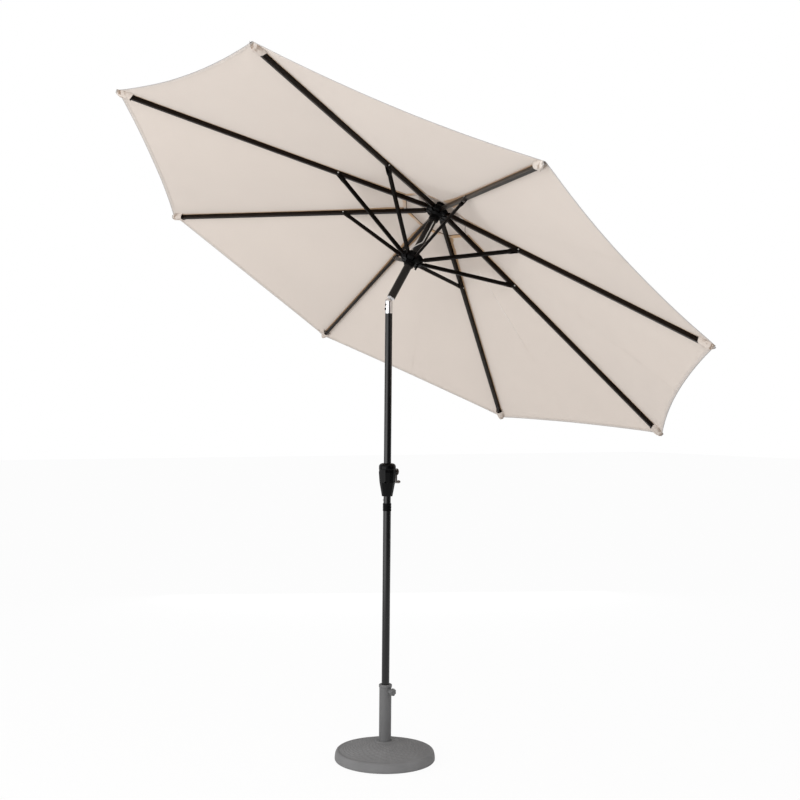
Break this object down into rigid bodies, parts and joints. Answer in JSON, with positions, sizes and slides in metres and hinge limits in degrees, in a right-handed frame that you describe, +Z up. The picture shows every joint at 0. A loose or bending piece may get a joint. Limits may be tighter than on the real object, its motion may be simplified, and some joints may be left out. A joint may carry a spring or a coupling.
{
  "type": "patio umbrella with base",
  "caption": "Market umbrella with a tilting fabric canopy on ribs and struts, a crank lift and a round weighted base.",
  "frame": {"origin": "centre of the base's underside, where it rests on the ground", "axes": "+Z up along the lower pole, +X towards the side the canopy leans to, +Y along the tilt joint's pin"},
  "size_m": [2.2336, 2.6054, 2.686],
  "materials": {
    "resin": "matte",
    "grey_paint": "satin",
    "grey_plastic": "satin",
    "black_paint": "gloss",
    "black_plastic": "gloss",
    "chrome": "polished",
    "steel": "satin",
    "rib_paint": "satin",
    "canopy_fabric": "matte",
    "cord": "matte"
  },
  "bodies": {
    "base": {"base_disc": "resin", "base_tube": "grey_paint", "base_sleeve": "grey_plastic"},
    "clamp_knob": {"clamp_knob": "grey_plastic"},
    "pole": {"lower_pole": "black_paint", "pole_collar": "black_plastic", "middle_pole": "black_paint", "housing_left": "black_plastic", "housing_right": "black_plastic", "housing_screws": "steel", "lower_knuckle": "chrome", "pivot_pin": "steel", "lift_cord_lower": "cord"},
    "snap_button": {"snap_button": "steel"},
    "crank": {"crank_spool": "steel", "crank_arm": "steel"},
    "crank_knob": {"crank_knob": "black_plastic"},
    "tilt_button": {"tilt_button": "black_plastic"},
    "mast": {"upper_pole": "black_paint", "upper_knuckle": "chrome", "hub": "black_plastic", "hub_pins": "steel", "vent_cap": "canopy_fabric", "finial": "black_plastic", "lift_cord": "cord"},
    "pulley": {"pulley": "black_plastic"},
    "runner": {"runner": "black_plastic", "runner_pins": "steel"},
    "rib_1": {"rib_1": "rib_paint"},
    "strut_1": {"strut_1": "rib_paint"},
    "panel_1_left": {"panel_1_left": "canopy_fabric"},
    "panel_1_right": {"panel_1_right": "canopy_fabric"},
    "rib_2": {"rib_2": "rib_paint"},
    "strut_2": {"strut_2": "rib_paint"},
    "panel_2_left": {"panel_2_left": "canopy_fabric"},
    "panel_2_right": {"panel_2_right": "canopy_fabric"},
    "rib_3": {"rib_3": "rib_paint"},
    "strut_3": {"strut_3": "rib_paint"},
    "panel_3_left": {"panel_3_left": "canopy_fabric"},
    "panel_3_right": {"panel_3_right": "canopy_fabric"},
    "rib_4": {"rib_4": "rib_paint"},
    "strut_4": {"strut_4": "rib_paint"},
    "panel_4_left": {"panel_4_left": "canopy_fabric"},
    "panel_4_right": {"panel_4_right": "canopy_fabric"},
    "rib_5": {"rib_5": "rib_paint"},
    "strut_5": {"strut_5": "rib_paint"},
    "panel_5_left": {"panel_5_left": "canopy_fabric"},
    "panel_5_right": {"panel_5_right": "canopy_fabric"},
    "rib_6": {"rib_6": "rib_paint"},
    "strut_6": {"strut_6": "rib_paint"},
    "panel_6_left": {"panel_6_left": "canopy_fabric"},
    "panel_6_right": {"panel_6_right": "canopy_fabric"},
    "rib_7": {"rib_7": "rib_paint"},
    "strut_7": {"strut_7": "rib_paint"},
    "panel_7_left": {"panel_7_left": "canopy_fabric"},
    "panel_7_right": {"panel_7_right": "canopy_fabric"},
    "rib_8": {"rib_8": "rib_paint"},
    "strut_8": {"strut_8": "rib_paint"},
    "panel_8_left": {"panel_8_left": "canopy_fabric"},
    "panel_8_right": {"panel_8_right": "canopy_fabric"}
  },
  "joints": [
    {"name": "pole_swivel", "type": "hinge", "parent": "base", "child": "pole", "pos_m": [0, 0, 0.3], "axis": [0, 0, 1], "continuous": true},
    {"name": "clamp_knob_turn", "type": "hinge", "parent": "base", "child": "clamp_knob", "pos_m": [0, 0, 0.281], "axis": [0.2419, -0.9703, 0], "range_deg": [0, 720]},
    {"name": "snap_button_press", "type": "slide", "parent": "pole", "child": "snap_button", "axis": [0.8554, -0.518, 0], "range_m": [0, 0.002], "stiffness_N_per_m": 1500, "springref_m": -0.002},
    {"name": "tilt_button_press", "type": "slide", "parent": "pole", "child": "tilt_button", "axis": [1, 0, 0], "range_m": [0, 0.0025], "stiffness_N_per_m": 1200, "springref_m": -0.002},
    {"name": "tilt", "type": "hinge", "parent": "pole", "child": "mast", "pos_m": [0, 0, 1.883], "axis": [0, 1, 0], "range_deg": [-31, 0]},
    {"name": "crank_knob_spin", "type": "hinge", "parent": "crank", "child": "crank_knob", "pos_m": [0.0565, 0, 1.138], "axis": [1, 0, 0], "continuous": true},
    {"name": "crank_turn", "type": "hinge", "parent": "pole", "child": "crank", "pos_m": [0, 0, 1.18], "axis": [1, 0, 0], "range_deg": [-1, 846]},
    {"name": "pulley_turn", "type": "hinge", "parent": "mast", "child": "pulley", "pos_m": [0.20405, -0.00893, 2.22472], "axis": [0.8508, -0.1219, -0.5112], "range_deg": [-1, 846]},
    {"name": "runner_slide", "type": "slide", "parent": "mast", "child": "runner", "axis": [-0.515, 0, -0.8572], "range_m": [-0.0005, 0.14788], "deforming": ["lift_cord"]},
    {"name": "rib_1_fold", "type": "hinge", "parent": "mast", "child": "rib_1", "pos_m": [0.26842, 0.02037, 2.25953], "axis": [-0.4208, 0.8712, 0.2528], "range_deg": [0, 12.15]},
    {"name": "strut_1_turn", "type": "hinge", "parent": "rib_1", "child": "strut_1", "pos_m": [0.51975, 0.21882, 1.99399], "axis": [0.4208, -0.8712, -0.2528], "range_deg": [-0.3, 21.75]},
    {"name": "panel_1_left_turn", "type": "hinge", "parent": "rib_1", "child": "panel_1_left", "pos_m": [0.2756, 0.0216, 2.26724], "axis": [0.6041, 0.477, -0.6383], "range_deg": [-0.3, 22.95]},
    {"name": "panel_1_right_turn", "type": "hinge", "parent": "rib_1", "child": "panel_1_right", "pos_m": [0.2756, 0.0216, 2.26724], "axis": [-0.6041, -0.477, 0.6383], "range_deg": [-0.3, 22.95]},
    {"name": "rib_2_fold", "type": "hinge", "parent": "mast", "child": "rib_2", "pos_m": [0.247, 0.03997, 2.27241], "axis": [-0.8256, 0.2689, 0.4961], "range_deg": [-0.2, 12.35]},
    {"name": "strut_2_turn", "type": "hinge", "parent": "rib_2", "child": "strut_2", "pos_m": [0.28962, 0.42933, 2.13227], "axis": [0.8256, -0.2689, -0.4961], "range_deg": [-0.3, 21.75]},
    {"name": "panel_2_left_turn", "type": "hinge", "parent": "rib_2", "child": "panel_2_left", "pos_m": [0.25288, 0.04238, 2.28089], "axis": [0.1025, 0.936, -0.3369], "range_deg": [-0.3, 22.95]},
    {"name": "panel_2_right_turn", "type": "hinge", "parent": "rib_2", "child": "panel_2_right", "pos_m": [0.25288, 0.04238, 2.28089], "axis": [-0.1025, -0.936, 0.3369], "range_deg": [-0.3, 22.95]},
    {"name": "rib_3_fold", "type": "hinge", "parent": "mast", "child": "rib_3", "pos_m": [0.21997, 0.03615, 2.28865], "axis": [-0.7468, -0.4909, 0.4487], "range_deg": [-0.2, 12.35]},
    {"name": "strut_3_turn", "type": "hinge", "parent": "rib_3", "child": "strut_3", "pos_m": [-0.00069, 0.38834, 2.30671], "axis": [0.7468, 0.4909, -0.4487], "range_deg": [-0.3, 21.75]},
    {"name": "panel_3_left_turn", "type": "hinge", "parent": "rib_3", "child": "panel_3_left", "pos_m": [0.22422, 0.03834, 2.29811], "axis": [-0.5304, 0.8466, 0.0434], "range_deg": [-0.3, 22.95]},
    {"name": "panel_3_right_turn", "type": "hinge", "parent": "rib_3", "child": "panel_3_right", "pos_m": [0.22422, 0.03834, 2.29811], "axis": [0.5304, -0.8466, -0.0434], "range_deg": [-0.3, 22.95]},
    {"name": "rib_4_fold", "type": "hinge", "parent": "mast", "child": "rib_4", "pos_m": [0.20317, 0.01116, 2.29874], "axis": [-0.2305, -0.9632, 0.1385], "range_deg": [-0.2, 12.35]},
    {"name": "strut_4_turn", "type": "hinge", "parent": "rib_4", "child": "strut_4", "pos_m": [-0.18114, 0.11987, 2.41513], "axis": [0.2305, 0.9632, -0.1385], "range_deg": [-0.3, 21.75]},
    {"name": "panel_4_left_turn", "type": "hinge", "parent": "rib_4", "child": "panel_4_left", "pos_m": [0.20641, 0.01183, 2.30881], "axis": [-0.9238, 0.2613, 0.2798], "range_deg": [-0.3, 22.95]},
    {"name": "panel_4_right_turn", "type": "hinge", "parent": "rib_4", "child": "panel_4_right", "pos_m": [0.20641, 0.01183, 2.30881], "axis": [0.9238, -0.2613, -0.2798], "range_deg": [-0.3, 22.95]},
    {"name": "rib_5_fold", "type": "hinge", "parent": "mast", "child": "rib_5", "pos_m": [0.20644, -0.02037, 2.29678], "axis": [0.4208, -0.8712, -0.2528], "range_deg": [-0.2, 12.35]},
    {"name": "strut_5_turn", "type": "hinge", "parent": "rib_5", "child": "strut_5", "pos_m": [-0.146, -0.21882, 2.39402], "axis": [-0.4208, 0.8712, 0.2528], "range_deg": [-0.3, 21.75]},
    {"name": "panel_5_left_turn", "type": "hinge", "parent": "rib_5", "child": "panel_5_left", "pos_m": [0.20988, -0.0216, 2.30673], "axis": [-0.8472, -0.477, 0.2338], "range_deg": [-0.3, 22.95]},
    {"name": "panel_5_right_turn", "type": "hinge", "parent": "rib_5", "child": "panel_5_right", "pos_m": [0.20988, -0.0216, 2.30673], "axis": [0.8472, 0.477, -0.2338], "range_deg": [-0.3, 22.95]},
    {"name": "rib_6_fold", "type": "hinge", "parent": "mast", "child": "rib_6", "pos_m": [0.22787, -0.03997, 2.2839], "axis": [0.8256, -0.2689, -0.4961], "range_deg": [-0.2, 12.35]},
    {"name": "strut_6_turn", "type": "hinge", "parent": "rib_6", "child": "strut_6", "pos_m": [0.08412, -0.42933, 2.25574], "axis": [-0.8256, 0.2689, 0.4961], "range_deg": [-0.3, 21.75]},
    {"name": "panel_6_left_turn", "type": "hinge", "parent": "rib_6", "child": "panel_6_left", "pos_m": [0.23259, -0.04238, 2.29308], "axis": [-0.3455, -0.936, -0.0677], "range_deg": [-0.3, 22.95]},
    {"name": "panel_6_right_turn", "type": "hinge", "parent": "rib_6", "child": "panel_6_right", "pos_m": [0.23259, -0.04238, 2.29308], "axis": [0.3455, 0.936, 0.0677], "range_deg": [-0.3, 22.95]},
    {"name": "rib_7_fold", "type": "hinge", "parent": "mast", "child": "rib_7", "pos_m": [0.25489, -0.03615, 2.26766], "axis": [0.7468, 0.4909, -0.4487], "range_deg": [-0.2, 12.35]},
    {"name": "strut_7_turn", "type": "hinge", "parent": "rib_7", "child": "strut_7", "pos_m": [0.37444, -0.38834, 2.0813], "axis": [-0.7468, -0.4909, 0.4487], "range_deg": [-0.3, 21.75]},
    {"name": "panel_7_left_turn", "type": "hinge", "parent": "rib_7", "child": "panel_7_left", "pos_m": [0.26125, -0.03834, 2.27586], "axis": [0.2874, -0.8466, -0.448], "range_deg": [-0.3, 22.95]},
    {"name": "panel_7_right_turn", "type": "hinge", "parent": "rib_7", "child": "panel_7_right", "pos_m": [0.26125, -0.03834, 2.27586], "axis": [-0.2874, 0.8466, 0.448], "range_deg": [-0.3, 22.95]},
    {"name": "rib_8_fold", "type": "hinge", "parent": "mast", "child": "rib_8", "pos_m": [0.2717, -0.01116, 2.25757], "axis": [0.2305, 0.9632, -0.1385], "range_deg": [-0.2, 12.35]},
    {"name": "strut_8_turn", "type": "hinge", "parent": "rib_8", "child": "strut_8", "pos_m": [0.55488, -0.11987, 1.97288], "axis": [-0.2305, -0.9632, 0.1385], "range_deg": [-0.3, 21.75]},
    {"name": "panel_8_left_turn", "type": "hinge", "parent": "rib_8", "child": "panel_8_left", "pos_m": [0.27907, -0.01183, 2.26516], "axis": [0.6807, -0.2613, -0.6843], "range_deg": [-0.3, 22.95]},
    {"name": "panel_8_right_turn", "type": "hinge", "parent": "rib_8", "child": "panel_8_right", "pos_m": [0.27907, -0.01183, 2.26516], "axis": [-0.6807, 0.2613, 0.6843], "range_deg": [-0.3, 22.95]}
  ],
  "couplings": [
    {"joint": "crank_turn", "follows": "rib_1_fold", "ratio": 69.498},
    {"joint": "pulley_turn", "follows": "rib_1_fold", "ratio": 69.498},
    {"joint": "runner_slide", "follows": "rib_1_fold", "m_per_rad": 0.69498},
    {"joint": "strut_1_turn", "follows": "rib_1_fold", "ratio": 1.765},
    {"joint": "panel_1_left_turn", "follows": "rib_1_fold", "ratio": 1.8643},
    {"joint": "panel_1_right_turn", "follows": "rib_1_fold", "ratio": 1.8643},
    {"joint": "rib_2_fold", "follows": "rib_1_fold", "ratio": 1},
    {"joint": "strut_2_turn", "follows": "rib_1_fold", "ratio": 1.765},
    {"joint": "panel_2_left_turn", "follows": "rib_1_fold", "ratio": 1.8643},
    {"joint": "panel_2_right_turn", "follows": "rib_1_fold", "ratio": 1.8643},
    {"joint": "rib_3_fold", "follows": "rib_1_fold", "ratio": 1},
    {"joint": "strut_3_turn", "follows": "rib_1_fold", "ratio": 1.765},
    {"joint": "panel_3_left_turn", "follows": "rib_1_fold", "ratio": 1.8643},
    {"joint": "panel_3_right_turn", "follows": "rib_1_fold", "ratio": 1.8643},
    {"joint": "rib_4_fold", "follows": "rib_1_fold", "ratio": 1},
    {"joint": "strut_4_turn", "follows": "rib_1_fold", "ratio": 1.765},
    {"joint": "panel_4_left_turn", "follows": "rib_1_fold", "ratio": 1.8643},
    {"joint": "panel_4_right_turn", "follows": "rib_1_fold", "ratio": 1.8643},
    {"joint": "rib_5_fold", "follows": "rib_1_fold", "ratio": 1},
    {"joint": "strut_5_turn", "follows": "rib_1_fold", "ratio": 1.765},
    {"joint": "panel_5_left_turn", "follows": "rib_1_fold", "ratio": 1.8643},
    {"joint": "panel_5_right_turn", "follows": "rib_1_fold", "ratio": 1.8643},
    {"joint": "rib_6_fold", "follows": "rib_1_fold", "ratio": 1},
    {"joint": "strut_6_turn", "follows": "rib_1_fold", "ratio": 1.765},
    {"joint": "panel_6_left_turn", "follows": "rib_1_fold", "ratio": 1.8643},
    {"joint": "panel_6_right_turn", "follows": "rib_1_fold", "ratio": 1.8643},
    {"joint": "rib_7_fold", "follows": "rib_1_fold", "ratio": 1},
    {"joint": "strut_7_turn", "follows": "rib_1_fold", "ratio": 1.765},
    {"joint": "panel_7_left_turn", "follows": "rib_1_fold", "ratio": 1.8643},
    {"joint": "panel_7_right_turn", "follows": "rib_1_fold", "ratio": 1.8643},
    {"joint": "rib_8_fold", "follows": "rib_1_fold", "ratio": 1},
    {"joint": "strut_8_turn", "follows": "rib_1_fold", "ratio": 1.765},
    {"joint": "panel_8_left_turn", "follows": "rib_1_fold", "ratio": 1.8643},
    {"joint": "panel_8_right_turn", "follows": "rib_1_fold", "ratio": 1.8643}
  ]
}
